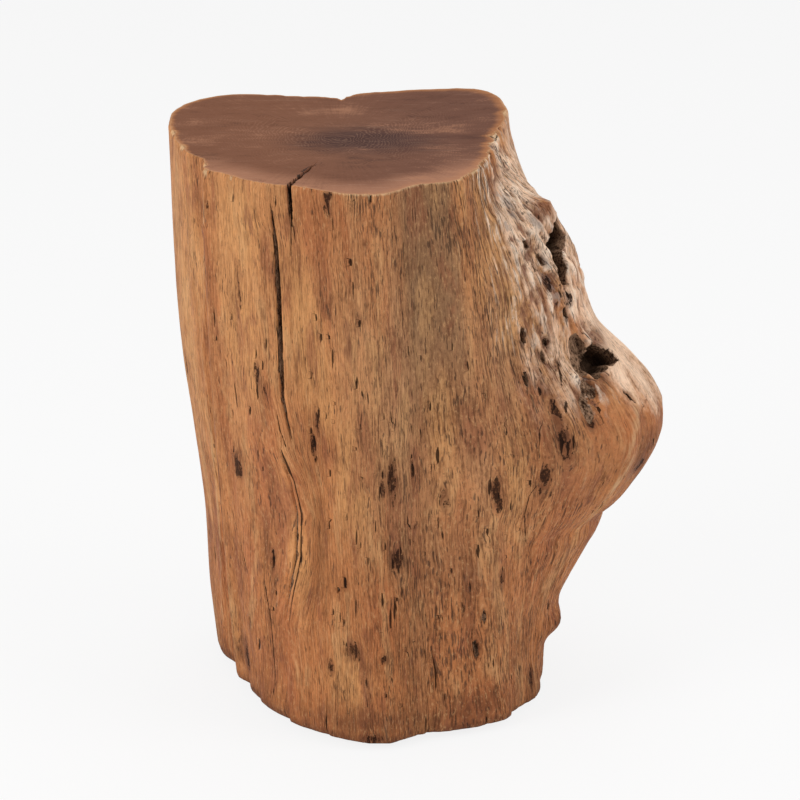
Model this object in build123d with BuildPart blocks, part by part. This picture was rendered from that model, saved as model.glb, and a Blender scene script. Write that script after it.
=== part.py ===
from build123d import *
import math
import os

# Stool cut from one length of a fluted, burled tree trunk, standing on four nail-on felt glides.
# Millimetres. +Z is up, +X is the burl's side, -Y is the front with the long drying checks.
# The origin lies on the floor, under the middle of the overall box.

# The log, between its two saw cuts, with both sawn edges eased by sanding
log_length = 450.0
seat_radius = 120.0
foot_radius = 120.0
foot_centre_x = -32.0
seat_lean = -28.0
seat_edge_ease = 1.5
foot_edge_ease = 2.5

# Radius of the two sawn faces round the pith, every 15 degrees from +X, as shares of their mean radius
seat_outline_shares = (
    0.94, 1.05, 1.21, 1.30, 1.08, 0.92, 0.82, 0.83, 1.00, 1.13, 1.17, 1.09,
    1.00, 0.94, 0.92, 0.90, 0.87, 0.84, 0.91, 0.97, 0.95, 0.98, 0.98, 0.95,
)
foot_outline_shares = (
    1.09, 1.12, 1.14, 1.17, 1.07, 0.96, 0.89, 0.91, 1.00, 1.12, 1.19, 1.09,
    0.94, 0.89, 0.87, 0.87, 0.90, 0.93, 0.98, 0.94, 0.95, 1.03, 1.07, 1.09,
)

# Flutes run the whole length: angle at seat and at foot, half width, then stand-out (negative in a valley)
left_ridge_angles = (213.0, 187.0)
left_ridge_half_width = 9.0
left_ridge_out = 5.0
left_valley_angles = (202.0, 176.0)
left_valley_half_width = 10.0
left_valley_out = -4.0
back_valley_angles = (90.0, 96.0)
back_valley_half_width = 11.0
back_valley_out = -6.0
back_left_valley_angles = (118.0, 124.0)
back_left_valley_half_width = 16.0
back_left_valley_out = -4.0
front_valley_angles = (301.0, 289.0)
front_valley_half_width = 15.0
front_valley_out = -3.5
front_right_ridge_angles = (316.0, 322.0)
front_right_ridge_half_width = 13.0
front_right_ridge_out = 3.0

# Swellings: height of the middle above the foot, half height and stand-out, then angle and half angle
burl_height = 236.0
burl_half_height = 79.0
burl_out = 98.0
burl_angle, burl_half_angle = 2.0, 30.0
upper_swell_height = 356.0
upper_swell_half_height = 54.0
upper_swell_out = 33.0
upper_swell_angle, upper_swell_half_angle = 6.0, 38.0
shoulder_height = 398.0
shoulder_half_height = 17.0
shoulder_out = 12.0
shoulder_angle, shoulder_half_angle = -5.0, 11.0
pocket_wall_height = 358.0
pocket_wall_half_height = 56.0
pocket_wall_out = 16.0
pocket_wall_angle, pocket_wall_half_angle = -2.0, 15.0
lower_swell_height = 148.0
lower_swell_half_height = 81.0
lower_swell_out = 43.0
lower_swell_angle, lower_swell_half_angle = 5.0, 26.0
crease_height = 144.0
crease_half_height = 9.0
crease_out = -6.0
crease_angle, crease_half_angle = 0.0, 22.0
low_knob_height = 55.0
low_knob_half_height = 12.0
low_knob_out = 8.0
low_knob_angle, low_knob_half_angle = -8.0, 8.0
belly_height = 300.0
belly_half_height = 150.0
belly_out = 8.5
belly_angle, belly_half_angle = 165.0, 32.0
back_boss_height = 165.0
back_boss_half_height = 60.0
back_boss_out = 8.0
back_boss_angle, back_boss_half_angle = 62.0, 16.0

# The rings of the trunk's surface between its eased edges, and the sides of each ring
ring_bands = 26
ring_sides = 72

# Hollows of the burl: angle and height above the foot, then length up the grain, width, depth and slant,
# and the corners of the ragged mouth, up the grain and across it, as shares of the length and the width
upper_hollow_place = (-8.5, 369.0)
upper_hollow_length = 58.0
upper_hollow_width = 20.0
upper_hollow_depth = 24.0
upper_hollow_slant = -18.0
upper_hollow_shares = (
    (0.50, -0.10), (0.36, 0.36), (0.10, 0.50), (-0.18, 0.22),
    (-0.50, 0.04), (-0.24, -0.22), (0.08, -0.48), (0.36, -0.46),
)
lower_hollow_place = (-9.5, 285.0)
lower_hollow_length = 46.0
lower_hollow_width = 36.0
lower_hollow_depth = 30.0
lower_hollow_slant = 13.0
lower_hollow_shares = (
    (0.50, -0.14), (0.40, 0.30), (0.10, 0.50), (-0.26, 0.38),
    (-0.50, 0.02), (-0.34, -0.36), (0.02, -0.50), (0.34, -0.44),
)
hollow_floor_share = 0.45
hollow_lift_share = 0.10

# Open knots and insect holes: angle and height above the foot, length up the grain and width of each
knot_hole_places = ((-26.7, 320.0), (-28.8, 286.0), (-12.8, 325.0), (-18.0, 383.0), (-15.7, 367.0))
knot_hole_lengths = (10.0, 9.0, 9.0, 7.0, 12.0)
knot_hole_widths = (6.0, 4.5, 6.0, 6.5, 7.0)
knot_hole_depth = 8.0
hole_floor_share = 0.5

# Drying checks: radial splits, widest where they reach the surface, as angle and height above the foot
long_check_places = (
    (242.0, 437.0), (243.0, 402.0), (242.2, 360.0), (241.4, 320.0), (240.6, 281.0), (243.4, 247.0),
)
long_check_width = 3.4
long_check_depth = 26.0
low_check_places = (
    (238.0, 240.0), (243.4, 214.0), (245.8, 186.0), (243.8, 150.0), (238.0, 112.0), (234.6, 88.0),
)
low_check_width = 1.8
low_check_depth = 15.0
check_root_share = 0.25
seat_check_angle = 250.2
seat_check_length = 49.0
seat_check_width = 3.2
seat_check_drop = 76.0
seat_check_middle_share = 0.55

# Nail-on glides: a moulded base, a flat-headed nail through it and a felt disc glued over the head
glide_names = ("back_right", "back_left", "front_left", "front_right")
glide_angles = (42.0, 146.0, 222.0, 318.0)
glide_inset = 32.0
base_radius = 11.0
base_thickness = 3.0
felt_radius = 10.2
felt_thickness = 3.5
nail_radius = 1.2
nail_length = 18.0
nail_head_radius = 3.5
nail_head_thickness = 1.0
nail_head_clearance = 0.15
nail_hole_clearance = 0.05

cut_overrun = 8.0
normal_step = 2.0

foot_height = base_thickness + felt_thickness
seat_height = foot_height + log_length
os.makedirs("parts", exist_ok=True)


def outline_share(shares, angle):
    """The share at any angle, on a smooth closed curve through the table's shares."""
    place = (angle % 360.0) / 360.0 * len(shares)
    here = int(place) % len(shares)
    step = place - int(place)
    before, first = shares[here - 1], shares[here]
    second, after = shares[(here + 1) % len(shares)], shares[(here + 2) % len(shares)]
    bend = 2 * before - 5 * first + 4 * second - after + step * (3 * (first - second) + after - before)
    return first + 0.5 * step * (second - before + step * bend)


def bell(distance):
    """A smooth hump that is 1 at the middle and about a third at one half width from it."""
    return math.exp(-distance * distance)


def turn_between(angle, other):
    """The turn from one angle to another, the short way round."""
    return (angle - other + 180.0) % 360.0 - 180.0


flutes = (
    (left_ridge_angles, left_ridge_half_width, left_ridge_out),
    (left_valley_angles, left_valley_half_width, left_valley_out),
    (back_valley_angles, back_valley_half_width, back_valley_out),
    (back_left_valley_angles, back_left_valley_half_width, back_left_valley_out),
    (front_valley_angles, front_valley_half_width, front_valley_out),
    (front_right_ridge_angles, front_right_ridge_half_width, front_right_ridge_out),
)
swellings = (
    (burl_angle, burl_half_angle, burl_height, burl_half_height, burl_out),
    (upper_swell_angle, upper_swell_half_angle, upper_swell_height, upper_swell_half_height, upper_swell_out),
    (shoulder_angle, shoulder_half_angle, shoulder_height, shoulder_half_height, shoulder_out),
    (pocket_wall_angle, pocket_wall_half_angle, pocket_wall_height, pocket_wall_half_height, pocket_wall_out),
    (lower_swell_angle, lower_swell_half_angle, lower_swell_height, lower_swell_half_height, lower_swell_out),
    (crease_angle, crease_half_angle, crease_height, crease_half_height, crease_out),
    (low_knob_angle, low_knob_half_angle, low_knob_height, low_knob_half_height, low_knob_out),
    (belly_angle, belly_half_angle, belly_height, belly_half_height, belly_out),
    (back_boss_angle, back_boss_half_angle, back_boss_height, back_boss_half_height, back_boss_out),
)


def pith(height):
    """Where the leaning pith stands along X, at a height above the foot."""
    return foot_centre_x + seat_lean * height / log_length


def trunk_radius(angle, height):
    """The radius round the pith: both sawn outlines blended, then the flutes, then the swellings."""
    up = height / log_length
    seat_share = up * outline_share(seat_outline_shares, angle)
    foot_share = (1 - up) * outline_share(foot_outline_shares, angle)
    radius = seat_radius * seat_share + foot_radius * foot_share
    for (seat_angle, foot_angle), half_width, out in flutes:
        middle = foot_angle + (seat_angle - foot_angle) * up
        radius += out * bell(math.radians(turn_between(angle, middle)) * foot_radius / half_width)
    for middle, half_angle, middle_height, half_height, out in swellings:
        around = bell(turn_between(angle, middle) / half_angle)
        radius += out * around * bell((height - middle_height) / half_height)
    return radius


def trunk_point(angle, height, inward=0.0):
    """A point of the trunk's surface, or one some way in from it towards the pith."""
    reach = trunk_radius(angle, height) - inward
    turned = math.radians(angle)
    return Vector(pith(height) + reach * math.cos(turned), reach * math.sin(turned), foot_height + height)


def surface_plane(place, slant=0.0):
    """A plane on the surface: Z points straight out of the wood, X runs up the grain, turned by the slant."""
    angle, height = place
    step_angle = math.degrees(normal_step / trunk_radius(angle, height))
    up = trunk_point(angle, height + normal_step) - trunk_point(angle, height - normal_step)
    across = trunk_point(angle + step_angle, height) - trunk_point(angle - step_angle, height)
    plane = Plane(origin=trunk_point(angle, height), x_dir=up, z_dir=across.cross(up))
    return plane.rotated((0, 0, slant))


def trunk_ring(height, inward=0.0):
    """The corners of the trunk's many-sided outline at a height."""
    points = [trunk_point(360.0 * number / ring_sides, height, inward) for number in range(ring_sides)]
    return [(point.X, point.Y) for point in points]


def hollow(place, length, width, depth, slant, mouth_shares):
    """The space of a rotted hollow: a ragged mouth that narrows as it runs in and up behind its own lip."""
    mouth = surface_plane(place, slant)
    levels = (
        (cut_overrun, 1.0, 0.0),
        (0.0, 1.0, 0.0),
        (-depth, hollow_floor_share, hollow_lift_share),
    )
    with BuildPart() as space:
        for level, size, lift in levels:
            with BuildSketch(mouth.offset(level)):
                with BuildLine():
                    Polyline(
                        *[
                            (length * (lift + size * along), width * size * aside)
                            for along, aside in mouth_shares
                        ],
                        close=True,
                    )
                make_face()
        loft(ruled=True)
    return space.part


def oval_hole(place, length, width, depth):
    """The space of a small open knot: oval along the grain and narrower at its floor."""
    mouth = surface_plane(place)
    with BuildPart() as space:
        for level, size in ((cut_overrun, 1.0), (-depth, hole_floor_share)):
            with BuildSketch(mouth.offset(level)):
                Ellipse(size * length / 2, size * width / 2)
        loft(ruled=True)
    return space.part


def side_check(places, width, depth):
    """The space of a split down the side: a slender leaf that wanders with the grain and closes inwards."""
    middle_angle = sum(angle for angle, height in places) / len(places)
    middle_height = sum(height for angle, height in places) / len(places)
    outer = trunk_point(middle_angle, middle_height)
    turned = math.radians(middle_angle)
    face = Plane(origin=outer, x_dir=(0, 0, 1), z_dir=(math.cos(turned), math.sin(turned), 0))
    reach = trunk_radius(middle_angle, middle_height)
    last = len(places) - 1
    with BuildPart() as space:
        for level, size in ((cut_overrun, 1.0), (-depth, check_root_share)):
            with BuildSketch(face.offset(level)):
                with BuildLine():
                    for side in (1, -1):
                        Spline(
                            *[
                                (
                                    height - middle_height,
                                    reach * math.radians(middle_angle - angle)
                                    + side * size * width / 2 * math.sin(math.pi * number / last),
                                )
                                for number, (angle, height) in enumerate(places)
                            ]
                        )
                make_face()
        loft(ruled=True)
    return space.part


def seat_check():
    """The space of the split that opens across the seat's rim and closes inwards and downwards."""
    turned = math.radians(seat_check_angle)
    radial = Vector(math.cos(turned), math.sin(turned), 0)
    rim = trunk_radius(seat_check_angle, log_length) + cut_overrun
    length = seat_check_length + cut_overrun
    top = Plane(origin=Vector(pith(log_length), 0, seat_height) + radial * rim, x_dir=radial, z_dir=(0, 0, 1))
    with BuildPart() as space:
        for level, size in ((cut_overrun, 1.0), (-seat_check_drop, check_root_share)):
            half = seat_check_width * size / 2
            with BuildSketch(top.offset(level)):
                with BuildLine():
                    Polyline(
                        (0, half),
                        (-length * seat_check_middle_share, half * seat_check_middle_share),
                        (-length, 0),
                        (-length * seat_check_middle_share, -half * seat_check_middle_share),
                        (0, -half),
                        close=True,
                    )
                make_face()
        loft(ruled=True)
    return space.part


def glide_centre(angle):
    """A glide stands a set way in from the foot's edge."""
    point = trunk_point(angle, 0, glide_inset)
    return point.X, point.Y


# The log: bands lofted up through the rings of its living shape, with an eased band at each sawn edge
with BuildPart() as trunk:
    band = (log_length - foot_edge_ease - seat_edge_ease) / ring_bands
    rings = [(0.0, foot_edge_ease)]
    rings += [(foot_edge_ease + band * number, 0.0) for number in range(ring_bands + 1)]
    rings += [(log_length, seat_edge_ease)]
    for ring_height, inward in rings:
        with BuildSketch(Plane.XY.offset(foot_height + ring_height)):
            with BuildLine():
                Polyline(*trunk_ring(ring_height, inward), close=True)
            make_face()
    loft(ruled=True)

    # The two hollows of the burl, the knot holes beside them, and the drying checks of the front and the seat
    spaces = [
        hollow(
            upper_hollow_place, upper_hollow_length, upper_hollow_width,
            upper_hollow_depth, upper_hollow_slant, upper_hollow_shares,
        ),
        hollow(
            lower_hollow_place, lower_hollow_length, lower_hollow_width,
            lower_hollow_depth, lower_hollow_slant, lower_hollow_shares,
        ),
    ]
    spaces += [
        oval_hole(place, length, width, knot_hole_depth)
        for place, length, width in zip(knot_hole_places, knot_hole_lengths, knot_hole_widths)
    ]
    spaces.append(side_check(long_check_places, long_check_width, long_check_depth))
    spaces.append(side_check(low_check_places, low_check_width, low_check_depth))
    spaces.append(seat_check())
    add(spaces, mode=Mode.SUBTRACT)

    # The holes that the glides' nails have made in the foot
    with BuildSketch(Plane.XY.offset(foot_height)):
        with Locations(*[glide_centre(angle) for angle in glide_angles]):
            Circle(nail_radius + nail_hole_clearance)
    extrude(amount=nail_length - base_thickness, mode=Mode.SUBTRACT)
trunk.part.label = "trunk"
export_step(trunk.part, "parts/trunk.step")
pieces = [trunk.part]

for name, angle in zip(glide_names, glide_angles):
    centre = glide_centre(angle)

    # Moulded nylon base, sunk flat for the nail's head on its underside
    with BuildPart() as glide_base:
        with BuildSketch(Plane.XY.offset(felt_thickness)):
            with Locations(centre):
                Circle(base_radius)
        extrude(amount=base_thickness)
        with BuildSketch(Plane.XY.offset(felt_thickness)):
            with Locations(centre):
                Circle(nail_head_radius + nail_head_clearance)
        extrude(amount=nail_head_thickness, mode=Mode.SUBTRACT)
        with BuildSketch(Plane.XY.offset(felt_thickness)):
            with Locations(centre):
                Circle(nail_radius + nail_hole_clearance)
        extrude(amount=base_thickness, mode=Mode.SUBTRACT)
    glide_base.part.label = "glide_base_" + name

    # Felt disc glued over the base and the nail's head, on the floor
    with BuildPart() as glide_felt:
        with BuildSketch(Plane.XY):
            with Locations(centre):
                Circle(felt_radius)
        extrude(amount=felt_thickness)
    glide_felt.part.label = "glide_felt_" + name

    for piece in (glide_base.part, glide_felt.part):
        export_step(piece, "parts/" + piece.label + ".step")
        pieces.append(piece)

# Four alike steel nails, heads down, each driven through its base into the foot
with BuildPart() as glide_nails:
    for angle in glide_angles:
        centre = glide_centre(angle)
        with BuildSketch(Plane(origin=(*centre, felt_thickness), x_dir=(1, 0, 0), z_dir=(0, -1, 0))):
            with BuildLine():
                Polyline(
                    (0, 0),
                    (nail_head_radius, 0),
                    (nail_head_radius, nail_head_thickness),
                    (nail_radius, nail_head_thickness),
                    (nail_radius, nail_length),
                    (0, nail_length),
                    close=True,
                )
            make_face()
        revolve(axis=Axis((*centre, 0), (0, 0, 1)))
glide_nails.part.label = "glide_nails"
export_step(glide_nails.part, "parts/glide_nails.step")
pieces.append(glide_nails.part)

for piece in pieces:
    print(piece.label, "volume", round(piece.volume), "valid", piece.is_valid)
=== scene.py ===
import math

import bmesh
import bpy
import numpy as np
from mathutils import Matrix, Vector, noise


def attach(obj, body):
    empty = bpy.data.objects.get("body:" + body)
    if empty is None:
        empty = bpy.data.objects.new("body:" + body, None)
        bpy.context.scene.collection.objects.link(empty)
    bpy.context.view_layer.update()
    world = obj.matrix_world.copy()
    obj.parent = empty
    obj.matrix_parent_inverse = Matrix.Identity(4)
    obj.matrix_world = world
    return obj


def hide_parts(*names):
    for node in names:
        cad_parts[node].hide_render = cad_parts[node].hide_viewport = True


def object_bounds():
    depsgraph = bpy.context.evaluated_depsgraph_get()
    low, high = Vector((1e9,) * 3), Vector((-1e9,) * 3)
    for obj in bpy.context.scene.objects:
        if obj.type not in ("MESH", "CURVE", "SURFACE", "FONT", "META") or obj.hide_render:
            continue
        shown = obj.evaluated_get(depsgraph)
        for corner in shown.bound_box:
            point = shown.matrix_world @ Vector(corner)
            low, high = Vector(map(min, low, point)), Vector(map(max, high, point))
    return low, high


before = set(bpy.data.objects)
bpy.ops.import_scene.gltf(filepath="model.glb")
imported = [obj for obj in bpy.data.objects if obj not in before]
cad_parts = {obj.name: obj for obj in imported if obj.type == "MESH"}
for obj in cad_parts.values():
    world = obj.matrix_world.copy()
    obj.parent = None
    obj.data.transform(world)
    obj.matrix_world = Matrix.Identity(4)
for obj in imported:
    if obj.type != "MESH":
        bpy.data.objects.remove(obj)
cad_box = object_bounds()

# The log: one length of a fluted hardwood trunk with a burl on its right, peeled and smoothed by hand, and
# sawn flat at both ends. It dried whole, so it has split down the front left and across the seat's rim,
# and rot has hollowed the burl in two places. Its surface is the solid's, with the small forms cut into it.
log_length = 0.450
foot_height = 0.0065
seat_radius = 0.120
foot_radius = 0.120
foot_centre_x = -0.032
seat_lean = -0.028
seat_outline_shares = (
    0.94, 1.05, 1.21, 1.3, 1.08, 0.92, 0.82, 0.83, 1.0, 1.13, 1.17, 1.09, 1.0, 0.94, 0.92, 0.9, 0.87, 0.84,
    0.91, 0.97, 0.95, 0.98, 0.98, 0.95,
)
foot_outline_shares = (
    1.09, 1.12, 1.14, 1.17, 1.07, 0.96, 0.89, 0.91, 1.0, 1.12, 1.19, 1.09, 0.94, 0.89, 0.87, 0.87, 0.9,
    0.93, 0.98, 0.94, 0.95, 1.03, 1.07, 1.09,
)

# The long flutes: angle at the seat, angle at the foot, half width, stand-out
flutes = (
    (213, 187, 0.009, 0.005), (202, 176, 0.01, -0.004), (90, 96, 0.011, -0.006), (118, 124, 0.016, -0.004),
    (301, 289, 0.015, -0.0035), (316, 322, 0.013, 0.003),
)

# The swellings: angle, half angle, height, half height, stand-out
swellings = (
    (2, 30, 0.236, 0.079, 0.098), (6, 38, 0.356, 0.054, 0.033), (-5, 11, 0.398, 0.017, 0.012),
    (-2, 15, 0.358, 0.056, 0.016), (5, 26, 0.148, 0.081, 0.043), (0, 22, 0.144, 0.009, -0.006),
    (-8, 8, 0.055, 0.012, 0.008), (165, 32, 0.3, 0.15, 0.0085), (62, 16, 0.165, 0.06, 0.008),
)


def outline_share(shares, angle):
    """The share at any angle, on a smooth closed curve through the table's shares."""
    place = (angle % 360.0) / 360.0 * len(shares)
    here = np.floor(place).astype(int) % len(shares)
    step = place - np.floor(place)
    before, first, second, after = (np.roll(shares, 1 - number)[here] for number in range(4))
    bend = 2 * before - 5 * first + 4 * second - after + step * (3 * (first - second) + after - before)
    return first + 0.5 * step * (second - before + step * bend)


def bell(distance):
    """A smooth hump, 1 at its middle."""
    return np.exp(-distance * distance)


def turn_between(angle, other):
    """The turn from one angle to another, the short way round."""
    return (angle - other + 180.0) % 360.0 - 180.0


def pith(height):
    """Where the leaning pith stands along X."""
    return foot_centre_x + seat_lean * height / log_length


def trunk_radius(angle, height):
    """The radius round the pith: both sawn outlines blended, then the flutes, then the swellings."""
    up = height / log_length
    radius = seat_radius * up * outline_share(seat_outline_shares, angle)
    radius = radius + foot_radius * (1 - up) * outline_share(foot_outline_shares, angle)
    for seat_angle, foot_angle, half_width, out in flutes:
        middle = foot_angle + (seat_angle - foot_angle) * up
        radius = radius + out * bell(np.radians(turn_between(angle, middle)) * foot_radius / half_width)
    for middle, half_angle, middle_height, half_height, out in swellings:
        around = bell(turn_between(angle, middle) / half_angle)
        radius = radius + out * around * bell((height - middle_height) / half_height)
    return radius


def spoke(angle, radius, height):
    """Points at a radius round the upright through the origin, as an array that ends in x, y and z."""
    turned = np.radians(angle)
    return np.stack((radius * np.cos(turned), radius * np.sin(turned), height + 0 * turned), axis=-1)


def skin(angle, height):
    """Points of the smooth trunk's surface."""
    points = spoke(angle, trunk_radius(angle, height), foot_height + height)
    points[..., 0] += pith(height)
    return points


# The photograph's camera, which also finds where a pixel of the photograph lies on the trunk
camera_place = Vector((-0.014, -2.438, 1.3665))
camera_pitch = math.radians(24.74)
camera_focus = 3483.0
photo_middle = 400.0
sight_steps = np.arange(2.1, 3.3, 0.0005)


def spot(x, y):
    """The angle round the pith and the height up the log of what shows at a pixel of the photograph."""
    aside, down = (x - photo_middle) / camera_focus, (y - photo_middle) / camera_focus
    along = math.cos(camera_pitch) - down * math.sin(camera_pitch)
    rise = -math.sin(camera_pitch) - down * math.cos(camera_pitch)
    ray = Vector((aside, along, rise)).normalized()
    px, py, pz = (camera_place[axis] + ray[axis] * sight_steps for axis in range(3))
    height = np.clip(pz - foot_height, 0, log_length)
    angle = np.degrees(np.arctan2(py, px - pith(height))) % 360.0
    beyond = np.hypot(px - pith(height), py) - trunk_radius(angle, height)
    inside = (beyond < 0) & (pz < foot_height + log_length)
    first = int(np.argmax(inside) if inside.any() else np.argmin(np.abs(beyond)))
    return float(angle[first]), float(height[first])


# The long drying checks down the front left, as angle and height, from the seat to the foot
long_check_path = (
    (242.0, 0.437), (243.0, 0.402), (242.2, 0.36), (241.4, 0.32), (240.6, 0.281), (243.4, 0.247),
)
low_check_path = (
    (238.0, 0.24), (243.4, 0.214), (245.8, 0.186), (243.8, 0.15), (238.0, 0.112), (234.6, 0.088),
)
long_check_column = 242.4
low_check_column = 237.0
check_columns_middle = 240.0
check_columns_half = 12.0

# How far the grain turns between seat and foot, by its angle at the seat
grain_turn_angles = (0, 45, 90, 118, 150, 180, 202, 213, 232, 240, 262, 301, 316, 335, 350, 360)
grain_turns = (0, 2, 5, 5, -4, -16, -22, -22, -8, 0, -3, -9, 2, 2, 0, 0)

# The skin's columns run down the grain, closest together where the photograph shows the most: from, to,
# number of columns, and then the same for its rows
column_bands = (
    (15, 80, 30), (80, 100, 14), (100, 160, 28), (160, 200, 36), (200, 213, 20), (213, 236, 56),
    (236, 256, 60), (256, 300, 76), (300, 317, 46), (317, 335, 38), (335, 356, 68), (356, 375, 34),
)
row_bands = (
    (0, 0.01, 5), (0.01, 0.09, 29), (0.09, 0.245, 56), (0.245, 0.4, 62), (0.4, 0.4455, 15),
    (0.4455, 0.45, 5),
)


def stops(bands):
    """Every stop along the bands, and the last one's end."""
    runs = [np.linspace(start, end, count, endpoint=False) for start, end, count in bands]
    return np.concatenate(runs + [[bands[-1][1]]])


column_angles = stops(column_bands)
row_heights = stops(row_bands)
across, upward = np.meshgrid(column_angles, row_heights)

# The grain wanders sideways with the two checks
wander_places = [(height, angle - low_check_column) for angle, height in reversed(low_check_path)]
wander_places += [(height, angle - long_check_column) for angle, height in reversed(long_check_path)]
wander = np.interp(upward, *zip(*wander_places))
around = across + (1 - upward / log_length) * np.interp(across % 360, grain_turn_angles, grain_turns)
around += wander * bell((across - check_columns_middle) / check_columns_half)

smooth_points = skin(around, upward)
grain_radius = 0.120
grain_points = spoke(across, grain_radius, upward)


def skin_noise(points):
    """Smooth noise at each point of the skin: about 0 on average and within 1 of it."""
    return np.array([noise.noise(Vector(point)) for point in points.reshape(-1, 3)]).reshape(across.shape)


def grain_noise(width, length, seed):
    """Noise that runs along the grain."""
    return skin_noise(grain_points * np.array((1 / width, 1 / width, 1 / length)) + seed)


def lump_noise(size, seed):
    """Noise in round lumps."""
    return skin_noise(smooth_points / size + seed)


def surface_axes(place, slant=0.0):
    """A place on the trunk with three axes: across the grain, along it turned by the slant, and outwards."""
    angle, height = (np.array(value, float) for value in place)
    step = 0.002
    turn = math.degrees(step / trunk_radius(angle, height))
    along = Vector(skin(angle, height + step) - skin(angle, height - step)).normalized()
    aside = Vector(skin(angle + turn, height) - skin(angle - turn, height)).normalized()
    outward = aside.cross(along).normalized()
    aside = along.cross(outward)
    lean = math.radians(slant)
    turned_along = along * math.cos(lean) + aside * math.sin(lean)
    turned_aside = aside * math.cos(lean) - along * math.sin(lean)
    return Vector(skin(angle, height)), turned_aside, turned_along, outward


oval_thickness_share = 2.5
out_of_reach = 9.0


def oval(place, half_width, half_length, slant=0.0):
    """How far the skin's points are from a place, 1 being an oval's edge, and how far beside it."""
    middle, aside, along, outward = surface_axes(place, slant)
    away = smooth_points - np.array(middle)
    side = away @ np.array(aside) / half_width
    up = away @ np.array(along) / half_length
    far = np.abs(away @ np.array(outward)) > oval_thickness_share * max(half_width, half_length)
    return np.where(far, out_of_reach, np.hypot(side, up)), side


def ramp(value, low, high):
    """0 below low, 1 above high and smooth between them."""
    share = np.clip((value - low) / (high - low), 0, 1)
    return share * share * (3 - 2 * share)


def marked(places, near=bell, slant=0.0):
    """The strongest mark of some ovals: pixel, half width, half length and, where it isn't 1, strength."""
    mark = np.zeros_like(across)
    for x, y, half_width, half_length, *strength in places:
        reach = oval(spot(x, y), half_width, half_length, slant)[0]
        mark = np.maximum(mark, near(reach) * (strength[0] if strength else 1.0))
    return mark


def beside(places):
    """How far the skin's points lie beside a line down the trunk, and their share of its height."""
    rising = sorted(places, key=lambda place: place[1])
    heights = [height for angle, height in rising]
    first = rising[0][0]
    angles = [first + turn_between(angle, first) for angle, height in rising]
    side = np.radians(turn_between(around, np.interp(upward, heights, angles))) * radii
    return side, (upward - heights[0]) / (heights[-1] - heights[0])


def pointed(share, power=0.6):
    """1 in the middle of a line and 0 at both its ends."""
    return np.sin(math.pi * np.clip(share, 0, 1)) ** power


# Unit directions out of the wood, from the smooth skin itself
outwards = np.cross(np.gradient(smooth_points, axis=1), np.gradient(smooth_points, axis=0))
outwards /= np.linalg.norm(outwards, axis=-1, keepdims=True)
radii = trunk_radius(around, upward)

# Relief on the smooth skin: broad waves, long muscles of grain, and torn fibres, coarsest at the front
coarse = ramp(around, 258, 290) * ramp(-around, -375, -362)
broad_waves = grain_noise(0.030, 0.150, 3.1)
long_muscles = grain_noise(0.0095, 0.080, 17.3)
fibres = grain_noise(0.0032, 0.030, 41.7)
fine_fibres = grain_noise(0.0019, 0.013, 63.9)
out = 0.0011 * broad_waves + 0.0007 * long_muscles
out += (0.00016 + 0.00042 * coarse) * fibres + (0.00008 + 0.00022 * coarse) * fine_fibres

# Rough, pitted wood at the neck of the burl and round its hollows
rough_places = (
    (505, 165, 0.016, 0.034), (520, 205, 0.018, 0.026), (535, 250, 0.018, 0.024), (560, 295, 0.016, 0.022),
    (590, 335, 0.016, 0.016), (582, 390, 0.014, 0.02), (545, 350, 0.01, 0.024),
)
neck_angle = 345
rough = marked(rough_places, lambda reach: ramp(-reach, -1.3, -0.5), -15)
from_neck = turn_between(around, neck_angle)
neck = ramp(from_neck, -26, -12) * ramp(-from_neck, -48, -28) * ramp(upward, 0.285, 0.345)
under_neck = ramp(from_neck, -22, -8) * ramp(-from_neck, -28, -14) * ramp(upward, 0.225, 0.26)
gnarled = np.maximum(rough, np.maximum(neck, 0.22 * under_neck))
knobs = lump_noise(0.0075, 5.2)
torn = grain_noise(0.0036, 0.017, 77.1) + 0.35 * knobs + 0.35 * lump_noise(0.0042, 1.9)
torn += (1 - ramp(from_neck, -19, -5)) * (1.2 * grain_noise(0.0021, 0.032, 12.6) - torn)
gnarl = gnarled * (ramp(torn, 0.10, 0.42) - ramp(-torn, 0.0, 0.42))
out += gnarled * (0.0015 * lump_noise(0.013, 9.4) + 0.0009 * grain_noise(0.0028, 0.018, 31.3))
out -= gnarl * (0.0009 + 0.0007 * rough)

# Lumps, dents and ridges that the photograph shows: pixel, half width, half length, stand-out, slant
lump_places = (
    (546, 208, 0.0075, 0.0085, 0.0042, -25), (556, 622, 0.008, 0.01, 0.0016, 0),
    (572, 572, 0.03, 0.042, 0.0034, 0), (581, 268, 0.022, 0.03, -0.004, 0),
    (600, 318, 0.018, 0.018, -0.002, 0), (533, 182, 0.018, 0.02, -0.0026, 0),
    (372, 733, 0.07, 0.026, 0.0022, 0), (284, 712, 0.028, 0.022, 0.0024, 0),
    (169, 150, 0.03, 0.09, -0.0014, 0), (197, 470, 0.03, 0.09, -0.0014, 0),
    (214, 590, 0.03, 0.06, 0.0026, 0), (534, 694, 0.015, 0.02, 0.003, 0),
    (576, 282, 0.008, 0.016, -0.0018, 0), (505, 196, 0.006, 0.017, -0.0016, -15),
    (521, 214, 0.005, 0.013, -0.0014, -25), (497, 140, 0.003, 0.01, -0.0026, -8),
    (546, 352, 0.005, 0.012, -0.0018, 0), (559, 352, 0.003, 0.02, 0.0016, -6),
    (545, 250, 0.0024, 0.03, 0.0018, -20), (414, 521, 0.0036, 0.0052, 0.002, 0),
    (366, 243, 0.006, 0.006, 0.0008, 0), (364, 336, 0.007, 0.007, 0.0008, 0),
    (516, 480, 0.009, 0.045, 0.0014, 0), (470, 560, 0.01, 0.042, -0.0026, 4),
    (432, 690, 0.004, 0.03, -0.0018, 0), (541, 480, 0.006, 0.016, -0.0012, 0),
    (394, 480, 0.005, 0.019, -0.001, 0), (350, 655, 0.008, 0.01, -0.001, 0),
)
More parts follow.
